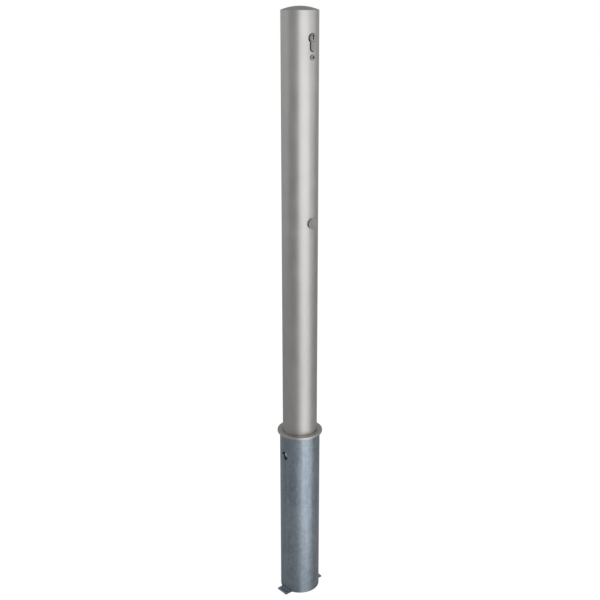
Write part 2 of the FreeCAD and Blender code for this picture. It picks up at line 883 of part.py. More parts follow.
def cut_slider_room(piece):
    """The carrier's pocket for the turning cam and its groove for the rising slider."""
    tall = d.cam_pocket_half_height
    pocket = piece.sketch("XZ_Plane", d.cam_room_front + d.cam_pocket_play)
    box(pocket, 0, lock_height - tall, d.cam_pocket_side, lock_height + tall)
    piece.pocket(pocket)
    near = d.slider_near - d.groove_play
    far = d.slider_far + d.groove_play
    side = -d.slider_foot_side - d.groove_play
    over = lock_height + d.carrier_above + d.groove_play
    under = lock_height - d.carrier_below - d.groove_play
    groove = piece.sketch("XZ_Plane", slider_front + d.slider_play)
    outline(groove, (
        (near, over),
        (near, lock_height - d.groove_lobe_room),
        (side, lock_height - d.groove_lobe_room),
        (side, under),
        (far, under),
        (far, over),
    ))
    piece.pocket(groove)


def keeper_screw_spots():
    """Where the keeper's three screws stand, as (x, z)."""
    right = (d.slider_far + d.groove_play + d.carrier_half_width) / 2
    left = -(d.slider_foot_side + d.groove_play + d.carrier_half_width) / 2
    low = lock_height - (d.keeper_step + d.carrier_below) / 2
    return ((right, lock_height + d.carrier_above / 2), (right, low), (left, low))


def cut_carrier_holes(piece):
    """The carrier's threads for its own screw and the keeper's, and the fixing screw's hole."""
    front = piece.sketch("XZ_Plane", d.cam_room_front)
    circle(front, 0, carrier_screw_height, d.carrier_thread_dia / 2)
    piece.pocket(front, reverse=True)
    side = piece.sketch("YZ_Plane")
    circle(side, -d.fixing_screw_depth, fixing_height, d.small_thread_dia / 2)
    piece.pocket(side)
    seat = piece.sketch("YZ_Plane", -d.fixing_screw_seat)
    circle(seat, -d.fixing_screw_depth, fixing_height, d.fixing_screw_head_dia / 2 + d.seat_gap)
    piece.pocket(seat)
    back = piece.sketch("XZ_Plane", d.rod_offset * 2)
    for x, z in keeper_screw_spots():
        circle(back, x, z, d.keeper_thread_dia / 2)
    piece.pocket(back)


def carrier_screw():
    """The small screw seen below the lock, which holds the carrier to the tube."""
    screw = socket_screw("carrier_screw", d.carrier_screw_head_dia, d.carrier_screw_head,
                         d.carrier_screw_dia, d.carrier_screw_length, d.carrier_screw_key,
                         d.carrier_screw_round)
    place(screw.body, y=-post_radius, z=carrier_screw_height, facing=FACING_FRONT)
    return screw.body


def cylinder_fixing_screw():
    """The cross screw from the carrier's side into the cylinder's lobe."""
    screw = socket_screw("cylinder_fixing_screw", d.fixing_screw_head_dia, d.fixing_screw_head,
                         d.small_screw_dia, d.fixing_screw_length, d.grub_key)
    place(screw.body, -d.fixing_screw_seat, -d.fixing_screw_depth, fixing_height, FACING_LATCH)
    return screw.body


def slider_keeper():
    """The plate that closes the slider's groove from behind."""
    piece = Piece("slider_keeper")
    low = lock_height - d.carrier_below
    high = lock_height + d.carrier_above
    step = lock_height - d.keeper_step
    plate = piece.sketch("XZ_Plane", d.carrier_back - d.keeper_thick)
    outline(plate, (
        (-d.keeper_left, low),
        (d.carrier_half_width, low),
        (d.carrier_half_width, high),
        (d.keeper_inner, high),
        (d.keeper_inner, step),
        (-d.keeper_left, step),
    ))
    piece.pad(plate, d.keeper_thick)
    holes = piece.sketch("XZ_Plane")
    for x, z in keeper_screw_spots():
        circle(holes, x, z, d.keeper_hole_dia / 2)
    piece.pocket(holes, symmetric=True)
    return piece.body


def keeper_screws():
    """The keeper's three screws, heads to the back."""
    made = []
    for number, (x, z) in enumerate(keeper_screw_spots(), start=1):
        screw = socket_screw("keeper_screw_%d" % number, d.keeper_screw_head_dia, d.keeper_screw_head,
                             d.keeper_screw_dia, d.keeper_screw_length, d.keeper_screw_key,
                             d.keeper_screw_round)
        place(screw.body, x, d.keeper_thick - d.carrier_back, z, FACING_BACK)
        made.append(screw.body)
    return group("keeper_screws", made)


def cam_slider():
    """The plate that the cam's nose lifts. It reaches round the lobe down to the rod."""
    piece = Piece("cam_slider")
    middle = lock_height - cam_drop
    notch_top = middle + d.notch_height / 2
    notch_low = middle - d.notch_height / 2
    foot_low = lock_height - d.slider_foot_low
    tongue = rod_top - d.tongue_overlap
    plate = piece.sketch("XZ_Plane", slider_back)
    outline(plate, (
        (d.slider_near, notch_top + d.slider_finger),
        (d.slider_near, notch_top),
        (d.notch_end, notch_top),
        (d.notch_end, notch_low),
        (d.slider_near, notch_low),
        (d.slider_near, lock_height - d.slider_foot_top),
        (-d.slider_foot_side, lock_height - d.slider_foot_top),
        (-d.slider_foot_side, foot_low),
        (-d.tongue_half_width, foot_low),
        (-d.tongue_half_width, tongue),
        (d.tongue_half_width, tongue),
        (d.tongue_half_width, foot_low),
        (d.slider_far, foot_low),
        (d.slider_far, notch_top + d.slider_finger),
    ))
    piece.pad(plate, d.slider_thick)
    drill_rod_pin(piece, top_pin_height)
    return piece.body


def drill_rod_pin(piece, height):
    """A hole from front to back for one of the rod's cross pins."""
    hole = piece.sketch("XZ_Plane")
    circle(hole, 0, height, d.rod_pin_dia / 2)
    piece.pocket(hole, symmetric=True)


def drive_rod():
    """The long rod between the lock and the latch, slotted at both ends."""
    piece = Piece("drive_rod")
    section = piece.sketch("XY_Plane", rod_bottom)
    circle(section, 0, -d.rod_offset, d.rod_dia / 2)
    piece.pad(section, rod_top - rod_bottom)
    front = -d.rod_offset - d.rod_slot_width / 2
    back = d.rod_slot_width / 2 - d.rod_offset
    slots = piece.sketch("YZ_Plane")
    box(slots, front, rod_top - d.rod_slot_depth, back, rod_top + d.rod_dia)
    box(slots, front, rod_bottom - d.rod_dia, back, rod_bottom + d.rod_slot_depth)
    piece.pocket(slots, symmetric=True)
    drill_rod_pin(piece, top_pin_height)
    drill_rod_pin(piece, low_pin_height)
    return piece.body


def straight_pin(label, radius, length):
    """A plain round pin along its own Z."""
    pin = doc.addObject("Part::Cylinder", label)
    pin.Label = label
    bind(pin, "Radius", radius)
    bind(pin, "Height", length)
    return pin


def rod_pins():
    """The cross pins at the rod's two ends."""
    made = []
    length = d.rod_dia - d.slider_play
    for number, height in enumerate((top_pin_height, low_pin_height), start=1):
        pin = straight_pin("rod_pin_%d" % number, d.rod_pin_dia / 2, length)
        place(pin, y=length / 2 - d.rod_offset, z=height, facing=FACING_FRONT)
        made.append(pin)
    return group("rod_pins", made)


def wedge_plate():
    """The plate whose inclined slot throws the bolt as the rod lifts."""
    piece = Piece("wedge_plate")
    high = d.latch_height + d.wedge_high
    low = d.latch_height - d.wedge_low
    tongue = rod_bottom + d.tongue_overlap
    plate = piece.sketch("XZ_Plane", slider_back)
    outline(plate, (
        (-d.wedge_left, low),
        (d.wedge_right, low),
        (d.wedge_right, high),
        (d.tongue_half_width, high),
        (d.tongue_half_width, tongue),
        (-d.tongue_half_width, tongue),
        (-d.tongue_half_width, high),
        (-d.wedge_left, high),
    ))
    piece.pad(plate, d.slider_thick)
    slot_length = root(d.bolt_throw * d.bolt_throw + rod_lift * rod_lift)
    half = d.wedge_slot_width / 2
    u = rod_lift / slot_length * half
    v = d.bolt_throw / slot_length * half
    top = d.latch_height
    foot = d.latch_height - rod_lift
    slot = piece.sketch("XZ_Plane")
    outline(slot, (
        (u, top - v, half),
        (v, top + u, half),
        (-u, top + v),
        (-d.bolt_throw - u, foot + v, half),
        (-d.bolt_throw - v, foot - u, half),
        (u - d.bolt_throw, foot - v),
    ))
    piece.pocket(slot, symmetric=True)
    drill_rod_pin(piece, low_pin_height)
    return piece.body


def rod_guide():
    """The round disc on the post's front, whose shank guides the drive rod inside."""
    piece = Piece("rod_guide")
    head = piece.sketch("XY_Plane", post_bore - d.guide_head_dia / 2)
    circle(head, 0, 0, d.guide_head_dia / 2)
    piece.pad(head, d.guide_face - post_bore + d.guide_head_dia / 2)
    piece.round_edges(d.guide_head_round, d.guide_face, d.guide_head_dia / 2)
    saddle = piece.sketch("XZ_Plane")
    circle(saddle, 0, 0, post_radius)
    piece.pocket(saddle, symmetric=True)
    shank = piece.sketch("XY_Plane", d.guide_shank_end)
    circle(shank, 0, 0, d.guide_shank_dia / 2)
    piece.pad(shank, post_radius + d.seat_gap - d.guide_shank_end)
    bore = piece.sketch("XZ_Plane")
    circle(bore, 0, d.rod_offset, d.rod_bore_dia / 2)
    piece.pocket(bore, symmetric=True)
    place(piece.body, z=d.guide_height, facing=FACING_FRONT)
    return piece.body


def latch_block():
    """The block in the tube that guides the bolt, with a slot through it for the wedge plate."""
    piece = Piece("latch_block")
    plan = piece.sketch("XY_Plane", d.latch_height - d.block_half_height)
    circle(plan, 0, 0, post_bore - d.seat_gap)
    piece.pad(plan, d.block_half_height * 2)
    slot = piece.sketch("XY_Plane", d.latch_height + d.block_half_height)
    left = -d.wedge_left - d.groove_play
    box(slot, left, -d.block_slot_front, d.wedge_right + d.groove_play, -d.block_slot_back)
    piece.pocket(slot)
    bore = piece.sketch("YZ_Plane", d.bolt_bore_end)
    circle(bore, 0, d.latch_height, d.bolt_bore_dia / 2)
    piece.pocket(bore)
    thread_end = d.grub_face - d.grub_length
    for lift, reverse in ((thread_end, True), (-thread_end, False)):
        thread = piece.sketch("XZ_Plane", lift)
        circle(thread, 0, d.latch_height, d.grub_dia / 2)
        piece.pocket(thread, reverse=reverse)
    return piece.body


def block_grub_screws():
    """The two grub screws, front and back, that hold the latch block in the tube."""
    made = []
    for number, (side, facing) in enumerate(((-1, FACING_FRONT), (1, FACING_BACK)), start=1):
        label = "block_grub_screw_%d" % number
        screw = grub_screw(label)
        place(screw.body, y=d.grub_face * side, z=d.latch_height, facing=facing)
        made.append(screw.body)
    return group("block_grub_screws", made)


def grub_screw(label):
    """A headless screw with its socket end at z = 0."""
    radius = d.grub_dia / 2
    chamfer = d.grub_chamfer
    screw = turned(label, (
        (0, -d.grub_length),
        (radius - chamfer, -d.grub_length),
        (radius, chamfer - d.grub_length),
        (radius, -chamfer),
        (radius - chamfer, 0),
        (0, 0),
    ))
    socket = screw.sketch("XY_Plane")
    hexagon(socket, d.grub_key)
    screw.pocket(socket, d.grub_key)
    return screw


def latch_bolt():
    """The round bolt that enters the sleeve's hole. Its own Z points the way it is thrown."""
    radius = d.bolt_dia / 2
    chamfer = d.bolt_chamfer
    piece = turned("latch_bolt", (
        (0, -d.bolt_tail),
        (radius - chamfer, -d.bolt_tail),
        (radius, chamfer - d.bolt_tail),
        (radius, post_radius - chamfer),
        (radius - chamfer, post_radius),
        (0, post_radius),
    ))
    hole = piece.sketch("XZ_Plane", d.bolt_pin_back)
    circle(hole, 0, 0, d.bolt_pin_dia / 2)
    piece.pocket(hole, reverse=True)
    place(piece.body, z=d.latch_height, facing=FACING_LATCH)
    return piece.body


def bolt_drive_pin():
    """The pin that stands out of the bolt into the wedge plate's slot."""
    pin = straight_pin("bolt_drive_pin", d.bolt_pin_dia / 2, d.bolt_pin_front - d.bolt_pin_back)
    place(pin, y=-d.bolt_pin_back, z=d.latch_height, facing=FACING_FRONT)
    return pin


def build_subparts():
    """Every sub-part, from the ground sleeve up to the lock."""
    return [
        ground_sleeve(),
        collar_ring(),
        anchor_bar(),
        sleeve_centring_ring(),
        post_tube(),
        top_cap(),
        foot_plug(),
        cylinder_housing(),
        lock_plug(),
        lock_cam(),
        cam_clip(),
        chamber_row("key_pins", key_pin),
        chamber_row("driver_pins", driver_pin),
        chamber_row("pin_springs", pin_spring),
        chamber_row("chamber_plugs", chamber_plug),
        lock_carrier(),
        carrier_screw(),
        cylinder_fixing_screw(),
        slider_keeper(),
        keeper_screws(),
        cam_slider(),
        drive_rod(),
        rod_pins(),
        wedge_plate(),
        rod_guide(),
        latch_block(),
        block_grub_screws(),
        latch_bolt(),
        bolt_drive_pin(),
    ]


def check_document(subparts):
    """Stop if any object failed or any sub-part isn't a valid solid."""
    doc.recompute()
    for item in doc.Objects:
        if "Invalid" in item.State or "Error" in item.State:
            raise RuntimeError("%s did not compute: %s" % (item.Label, item.State))
    for item in subparts:
        shape = item.Shape
        if shape.isNull() or not shape.isValid() or not shape.Solids:
            raise RuntimeError("%s is not a valid solid" % item.Label)


def export_subparts(subparts):
    """Write each sub-part to its own file."""
    os.makedirs("parts", exist_ok=True)
    for item in subparts:
        item.Shape.exportStep("parts/%s.step" % item.Label)
        print("%-24s solids %d  volume %.1f" % (item.Label, len(item.Shape.Solids), item.Shape.Volume))


SUBPARTS = build_subparts()
check_document(SUBPARTS)
export_subparts(SUBPARTS)
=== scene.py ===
import json
import math

import bmesh
import bpy
from bpy.props import FloatProperty, FloatVectorProperty, IntProperty, PointerProperty
from mathutils import Matrix, Vector


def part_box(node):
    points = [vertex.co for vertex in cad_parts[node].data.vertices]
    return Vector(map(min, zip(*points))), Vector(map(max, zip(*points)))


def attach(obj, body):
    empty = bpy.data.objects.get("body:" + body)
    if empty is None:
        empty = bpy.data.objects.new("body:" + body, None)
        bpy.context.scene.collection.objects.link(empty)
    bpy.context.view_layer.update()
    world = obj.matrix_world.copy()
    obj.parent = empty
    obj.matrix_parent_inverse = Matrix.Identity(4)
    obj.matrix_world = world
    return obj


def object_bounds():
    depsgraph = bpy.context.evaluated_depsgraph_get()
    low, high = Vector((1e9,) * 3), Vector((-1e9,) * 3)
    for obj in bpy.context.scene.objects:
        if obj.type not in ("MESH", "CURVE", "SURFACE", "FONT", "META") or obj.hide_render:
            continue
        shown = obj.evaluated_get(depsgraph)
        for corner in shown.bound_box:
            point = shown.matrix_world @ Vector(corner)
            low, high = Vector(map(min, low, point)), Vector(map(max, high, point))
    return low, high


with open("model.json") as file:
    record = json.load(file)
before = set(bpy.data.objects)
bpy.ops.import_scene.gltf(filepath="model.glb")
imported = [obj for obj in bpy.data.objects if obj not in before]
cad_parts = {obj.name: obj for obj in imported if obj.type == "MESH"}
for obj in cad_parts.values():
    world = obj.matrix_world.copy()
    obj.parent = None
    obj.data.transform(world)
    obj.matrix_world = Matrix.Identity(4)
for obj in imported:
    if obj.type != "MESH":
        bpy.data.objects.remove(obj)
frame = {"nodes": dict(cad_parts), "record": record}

bl_info = {
    "name": "Removable Locking Post",
    "version": (1, 0, 0),
    "blender": (4, 5, 0),
    "location": "3D View > Sidebar > Locking Post",
    "description": "Finishes, weld beads and a plain studio for a removable locking post",
    "category": "Object",
}

# What the frame gives: the CAD box, places at the sleeve's foot and the record's colours
CAD_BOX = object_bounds()
FLOOR_LEVEL = CAD_BOX[0].z
SLEEVE_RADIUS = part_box("ground_sleeve")[1].x
BAR_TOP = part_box("ground_sleeve")[0].z
BAR_HALF_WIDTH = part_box("anchor_bar")[1].y
COLOURS = {item["slot"]: item["base_color"][:3] for item in frame["record"]["materials"]}

MILLIMETRE = 0.001
SENSOR_WIDTH = 36.0
WHITE = (1.0, 1.0, 1.0, 1.0)


def colour_property(name, slot):
    """A colour that starts as the record's colour for a slot."""
    return FloatVectorProperty(
        name=name,
        description="Base colour of the " + name.lower(),
        subtype="COLOR",
        min=0.0,
        max=1.0,
        default=COLOURS[slot],
    )


def share_property(name, description, default):
    """A number from 0 to 1."""
    return FloatProperty(name=name, description=description, min=0.0, max=1.0, default=default)


def length_property(name, description, default):
    """A length in metres."""
    return FloatProperty(name=name, description=description, min=0.0, default=default, unit="LENGTH")


def angle_property(name, description, degrees):
    """An angle whose default is given in degrees."""
    return FloatProperty(name=name, description=description, subtype="ANGLE", default=math.radians(degrees))


def level_property(name, description, default):
    """A brightness, where 1 looks as bright as white."""
    return FloatProperty(name=name, description=description, min=0.0, default=default)


class PostFinish(bpy.types.PropertyGroup):
    """Finish of the stainless pieces that show on the post."""

    steel: colour_property("Post steel", "post_steel")
    steel_roughness: share_property("Steel roughness", "How dull the ground tube is", 0.4)
    grain: share_property("Grain", "How deep the grinding marks round the tube are", 0.35)
    waviness: share_property("Waviness", "How far the tube's surface waves", 0.3)
    disc: colour_property("Disc", "disc_steel")
    screw: colour_property("Screws", "screw_steel")
    # Width of the painted shade in the front screw's socket.
    socket_shade: length_property("Socket dirt", "Width of the front screw's dirty socket", 4.3 * MILLIMETRE)


class SleeveFinish(bpy.types.PropertyGroup):
    """Finish of the ground sleeve and its collar."""

    zinc: colour_property("Galvanised coat", "galvanised")
    zinc_roughness: share_property("Zinc roughness", "How dull the zinc coat is", 0.36)
    spangle: length_property("Spangle", "Width of one zinc crystal", 7 * MILLIMETRE)
    collar: colour_property("Collar", "collar_steel")
    collar_roughness: share_property("Collar roughness", "How dull the turned collar is", 0.33)


class LockFinish(bpy.types.PropertyGroup):
    """Finish of the cylinder lock."""

    housing: colour_property("Cylinder housing", "nickel_brass")
    plug: colour_property("Lock plug", "plug_brass")
    pins: colour_property("Pins", "pin_brass")
    springs: colour_property("Springs", "spring_steel")


class WorksFinish(bpy.types.PropertyGroup):
    """Finish of the pieces inside the post."""

    aluminium: colour_property("Machined blocks", "machined_aluminium")
    plate: colour_property("Zinc plated works", "zinc_steel")
    bolt: colour_property("Latch bolt", "bolt_steel")
    plastic: colour_property("Foot plug", "black_plastic")


class WeldSizes(bpy.types.PropertyGroup):
    """Sizes of the weld beads at the sleeve's foot."""

    radius: length_property("Bead radius", "Half the thickness of the bead", 2.75 * MILLIMETRE)
    sink: length_property("Sink", "How far the bead's middle stands off both faces", 0.6 * MILLIMETRE)
    ripples: IntProperty(name="Ripples", description="Ripples along one bead", min=3, default=11)
    ripple_height: length_property("Ripple height", "How far a ripple stands out", 0.22 * MILLIMETRE)
    end_gap: length_property("End gap", "Bare length of the bar's edge beside the bead", 1 * MILLIMETRE)


class StudioSettings(bpy.types.PropertyGroup):
    """The camera, the lamps and the floor."""

    azimuth: angle_property("Azimuth", "Side from which the camera looks", -40.5)
    pitch: angle_property("Pitch", "How far the camera looks down", 18.18)
    distance: length_property("Distance", "From the post's axis to the camera, level", 1.884)
    height: length_property("Height", "Camera height above the ground line", 0.926)
    lens: FloatProperty(name="Lens", description="Focal length of the camera", unit="CAMERA", default=55.62)
    shift: FloatProperty(name="Shift", description="Sideways shift that frames the post", default=0.0003)
    surround: share_property("Surround", "Level of the room on the camera's side", 0.56)
    far_wall: share_property("Far wall", "Level of the room behind the post", 0.36)
    floor_radius: length_property("Floor radius", "From the post's axis to the floor's edge", 12.0)
    floor_gap: length_property("Floor gap", "Air between the anchor bar and the floor", 0.2 * MILLIMETRE)
    floor_tone: share_property("Floor tone", "Tone of the floor as the post's metal sees it", 0.56)
    floor_glow: level_property("Floor glow", "Brightness of the floor as the camera sees it", 1.1)
    shadow: share_property("Shadow", "How much of the floor's shadow the camera sees", 0.12)
    key_level: level_property("Key level", "Brightness of the main panel", 0.95)
    side_level: level_property("Side level", "Brightness of the side panel", 0.48)
    rear_level: level_property("Rear level", "Brightness of the rear panel", 0.28)
    back_level: level_property("Back level", "Brightness of the back panel", 0.2)
    # The patch is painted light: a glow on the floor that only the metal sees, in place of the key lamp's
    # pool of light.
    patch_level: level_property("Patch level", "Brightness of the lit part of the floor", 1.28)
    patch_azimuth: angle_property("Patch azimuth", "Side on which the floor is lit", -6)
    patch_spread: angle_property("Patch spread", "Angle at which the lit part ends", 57)


class LockingPostSettings(bpy.types.PropertyGroup):
    """All the settings of the locking post."""

    post: PointerProperty(type=PostFinish)
    sleeve: PointerProperty(type=SleeveFinish)
    lock: PointerProperty(type=LockFinish)
    works: PointerProperty(type=WorksFinish)
    weld: PointerProperty(type=WeldSizes)
    studio: PointerProperty(type=StudioSettings)


def vector_step(owner, operation, first, second=None):
    """One step of vector arithmetic. The second operand is a constant."""
    node = owner.node_tree.nodes.new("ShaderNodeVectorMath")
    node.operation = operation
    owner.node_tree.links.new(first, node.inputs[0])
    if second is not None:
        node.inputs[1].default_value = second
    return node.outputs["Value" if operation in ("DOT_PRODUCT", "LENGTH") else "Vector"]


def multiply(owner, first, second):
    """Two values multiplied."""
    node = owner.node_tree.nodes.new("ShaderNodeMath")
    node.operation = "MULTIPLY"
    owner.node_tree.links.new(first, node.inputs[0])
    owner.node_tree.links.new(second, node.inputs[1])
    return node.outputs["Value"]


def map_value(owner, value, start, end, low=0.0, high=1.0, ease="LINEAR"):
    """A value brought from one range to another, straight or eased, and kept within it."""
    node = owner.node_tree.nodes.new("ShaderNodeMapRange")
    node.interpolation_type = ease
    node.inputs["From Min"].default_value = start
    node.inputs["From Max"].default_value = end
    node.inputs["To Min"].default_value = low
    node.inputs["To Max"].default_value = high
    owner.node_tree.links.new(value, node.inputs["Value"])
    return node.outputs["Result"]


def camera_choice(owner, to_others, to_camera, output):
    """Show one shader to the camera's own rays and another to all other rays."""
    nodes, links = owner.node_tree.nodes, owner.node_tree.links
    choice = nodes.new("ShaderNodeMixShader")
    links.new(nodes.new("ShaderNodeLightPath").outputs["Is Camera Ray"], choice.inputs["Fac"])
    links.new(to_others, choice.inputs[1])
    links.new(to_camera, choice.inputs[2])
    links.new(choice.outputs["Shader"], output)


class Finish:
    """A material under construction, with short calls for the nodes that the finishes share."""

    def __init__(self, name, colour, roughness, metallic=1.0):
        self.material = bpy.data.materials.new(name)
        self.material.use_nodes = True
        self.nodes = self.material.node_tree.nodes
        self.links = self.material.node_tree.links
        self.shader = self.nodes["Principled BSDF"]
        self.colour = colour
        self.shader.inputs["Base Color"].default_value = (*colour, 1.0)
        self.shader.inputs["Metallic"].default_value = metallic
        self.shader.inputs["Roughness"].default_value = roughness
        self.object_place = self.nodes.new("ShaderNodeTexCoord").outputs["Object"]

    def place(self, scale=(1, 1, 1), turn=(0, 0, 0), middle=(0, 0, 0)):
        """Object coordinates, scaled and turned, or centred on a point."""
        node = self.nodes.new("ShaderNodeMapping")
        node.inputs["Scale"].default_value = scale
        node.inputs["Rotation"].default_value = turn
        node.inputs["Location"].default_value = -Vector(middle)
        self.links.new(self.object_place, node.inputs["Vector"])
        return node.outputs["Vector"]

    def noise(self, place, per_metre=1.0, detail=2.0, rough=0.5, distortion=0.0):
        """Cloudy noise, from 0 to 1, with so many clouds to a metre of the place that it reads."""
        node = self.nodes.new("ShaderNodeTexNoise")
        node.inputs["Scale"].default_value = per_metre
        node.inputs["Detail"].default_value = detail
        node.inputs["Roughness"].default_value = rough
        node.inputs["Distortion"].default_value = distortion
        self.links.new(place, node.inputs["Vector"])
        return node.outputs["Fac"]

    def cells(self, place, per_metre):
        """Flat cells, each one with a shade of its own from 0 to 1."""
        node = self.nodes.new("ShaderNodeTexVoronoi")
        node.inputs["Scale"].default_value = per_metre
        self.links.new(place, node.inputs["Vector"])
        split = self.nodes.new("ShaderNodeSeparateColor")
        self.links.new(node.outputs["Color"], split.inputs["Color"])
        return split.outputs["Red"]

    def rings(self, place, pitch, direction):
        """Rings round an axis, a pitch apart, as a lathe leaves them, from 0 to 1."""
        radians_per_unit = 20
        node = self.nodes.new("ShaderNodeTexWave")
        node.wave_type = "RINGS"
        node.rings_direction = direction
        node.inputs["Scale"].default_value = math.tau / (radians_per_unit * pitch)
        node.inputs["Distortion"].default_value = 0.6
        node.inputs["Detail"].default_value = 1.0
        self.links.new(place, node.inputs["Vector"])
        return node.outputs["Fac"]

    def blend(self, first, second, share=0.5):
        """Two values mixed, with the second one's share given."""
        node = self.nodes.new("ShaderNodeMix")
        node.inputs["Factor"].default_value = share
        self.links.new(first, node.inputs["A"])
        self.links.new(second, node.inputs["B"])
        return node.outputs["Result"]

    def shades(self, value, dark, light, low=0.25, high=0.75):
        """Base colour between two shades, each a factor for the whole colour or three for its parts."""
        node = self.nodes.new("ShaderNodeValToRGB")
        node.color_ramp.elements[0].position = low
        node.color_ramp.elements[1].position = high
        for element, shade in zip(node.color_ramp.elements, (dark, light)):
            factors = shade if isinstance(shade, tuple) else (shade, shade, shade)
            element.color = (*(part * factor for part, factor in zip(self.colour, factors)), 1.0)
        self.links.new(value, node.inputs["Fac"])
        self.links.new(node.outputs["Color"], self.shader.inputs["Base Color"])

    def dull(self, value, low, high):
        """Roughness that follows the middle half of a value's range."""
        roughness = map_value(self.material, value, 0.25, 0.75, low, high)
        self.links.new(roughness, self.shader.inputs["Roughness"])

    def relief(self, height, depth):
        """Bumps of one depth in metres, over those that are there already."""
        node = self.nodes.new("ShaderNodeBump")
        node.inputs["Distance"].default_value = depth
        self.links.new(height, node.inputs["Height"])
        normal = self.shader.inputs["Normal"]
        if normal.is_linked:
            self.links.new(normal.links[0].from_socket, node.inputs["Normal"])
        self.links.new(node.outputs["Normal"], normal)


def give(material, *nodes):
    """Put a material on CAD nodes."""
    for name in nodes:
        mesh = frame["nodes"][name].data
        mesh.materials.clear()
        mesh.materials.append(material)


def middle_of(box):
    """The middle of a box, from its lowest and highest corners."""
    low, high = box
    return (low + high) / 2


def ground_steel(post):
    """Stainless tube, centreless ground: fine marks round it and a slightly wavy face."""
    finish = Finish("ground_steel", post.steel, post.steel_roughness)
    marks = finish.noise(finish.place(scale=(14, 14, 2400)), detail=3.0, rough=0.6)
    bands = finish.noise(finish.place(scale=(60, 60, 1.2)))
    clouds = finish.noise(finish.place(scale=(1, 1, 0.6)), per_metre=42.0, detail=3.0)
    waves = finish.noise(finish.place(), per_metre=48.0)
    finish.shades(finish.blend(clouds, bands, share=0.45), dark=0.93, light=1.06, low=0.35, high=0.65)
    finish.dull(finish.blend(clouds, marks, share=0.4),
                low=post.steel_roughness - 0.03, high=post.steel_roughness + 0.05)
    finish.relief(waves, depth=0.25 * MILLIMETRE * post.waviness)
    finish.relief(marks, depth=0.01 * MILLIMETRE * post.grain)
    return finish.material


def turned_steel(name, colour, roughness, pitch, direction="Z", middle=(0, 0, 0)):
    """Stainless turned on a lathe, with rings about an axis through one point."""
    finish = Finish(name, colour, roughness)
    place = finish.place(middle=middle)
    clouds = finish.noise(place, per_metre=90.0, detail=3.0)
    finish.shades(clouds, dark=0.9, light=1.05)
    finish.dull(clouds, low=roughness - 0.04, high=roughness + 0.06)
    finish.relief(finish.rings(place, pitch, direction), depth=0.006 * MILLIMETRE)
    return finish.material


def galvanised_steel(sleeve):
    """Hot-dip zinc: crystals of slightly different greys, a dull bloom and faint runs."""
    finish = Finish("galvanised_steel", sleeve.zinc, sleeve.zinc_roughness)
    wavy = finish.noise(finish.place(), per_metre=1 / sleeve.spangle, detail=3.0, rough=0.6, distortion=0.8)
    crystals = finish.cells(finish.place(scale=(1, 1, 0.7)), per_metre=1 / sleeve.spangle)
    bloom = finish.noise(finish.place(scale=(1, 1, 0.5)), per_metre=34.0, detail=4.0, rough=0.6)
    runs = finish.noise(finish.place(scale=(150, 150, 7)))
    speckle = finish.noise(finish.place(), per_metre=250.0)
    ridges = finish.noise(finish.place(scale=(20, 20, 260)))
    grit = finish.noise(finish.place(), per_metre=900.0, detail=3.0)
    mottle = finish.blend(finish.blend(wavy, speckle), crystals, share=0.2)
    shade = finish.blend(mottle, finish.blend(bloom, runs), share=0.45)
    finish.shades(shade, dark=(0.82, 0.82, 0.85), light=(1.18, 1.18, 1.15), low=0.38, high=0.62)
    finish.dull(finish.blend(bloom, crystals, share=0.25),
                low=sleeve.zinc_roughness - 0.04, high=sleeve.zinc_roughness + 0.06)
    finish.relief(finish.blend(wavy, runs, share=0.4), depth=0.07 * MILLIMETRE)
    finish.relief(ridges, depth=0.02 * MILLIMETRE)
    finish.relief(grit, depth=0.015 * MILLIMETRE)
    return finish.material


def nickel_plate(name, colour, turn=(0, 0, 0)):
    """Satin nickel over brass, brushed along one way."""
    finish = Finish(name, colour, roughness=0.36)
    marks = finish.noise(finish.place(scale=(2600, 2600, 40), turn=turn), detail=3.0, rough=0.6)
    clouds = finish.noise(finish.place(), per_metre=260.0, detail=3.0)
    finish.shades(finish.blend(clouds, marks), dark=0.86, light=1.06)
    finish.dull(clouds, low=0.32, high=0.44)
    finish.relief(marks, depth=0.006 * MILLIMETRE)
    return finish.material


def machined_aluminium(works):
    """Aluminium milled in passes, with the cutter's marks across it."""
    finish = Finish("machined_aluminium", works.aluminium, roughness=0.33)
    passes = finish.noise(finish.place(scale=(30, 30, 1100)))
    clouds = finish.noise(finish.place(), per_metre=70.0, detail=3.0)
    finish.shades(finish.blend(passes, clouds), dark=0.88, light=1.04)
    finish.dull(clouds, low=0.28, high=0.42)
    finish.relief(passes, depth=0.012 * MILLIMETRE)
    return finish.material


def zinc_plate(works):
    """Bright zinc plate with a faint blue and straw bloom."""
    finish = Finish("zinc_plate", works.plate, roughness=0.3)
    bloom = finish.noise(finish.place(scale=(1, 1, 0.4)), per_metre=60.0,
                         detail=3.0, rough=0.6, distortion=0.5)
    clouds = finish.noise(finish.place(), per_metre=300.0, detail=3.0)
    marks = finish.noise(finish.place(scale=(60, 60, 800)))
    finish.shades(bloom, dark=(0.88, 0.95, 1.05), light=(1.05, 1.0, 0.86))
    finish.dull(clouds, low=0.24, high=0.4)
    finish.relief(marks, depth=0.008 * MILLIMETRE)
    return finish.material


def tumbled_steel(name, post):
    """Tumbled stainless whose sheen and relief follow fine spots, together with those spots."""
    finish = Finish(name, post.screw, roughness=0.3)
    spots = finish.noise(finish.place(), per_metre=520.0, detail=3.0)
    finish.dull(spots, low=0.24, high=0.4)
    finish.relief(spots, depth=0.01 * MILLIMETRE)
    return finish, spots


def screw_steel(post):
    """Fasteners that are a little darker in the low spots."""
    finish, spots = tumbled_steel("screw_steel", post)
    finish.shades(spots, dark=0.82, light=1.05)
    return finish.material


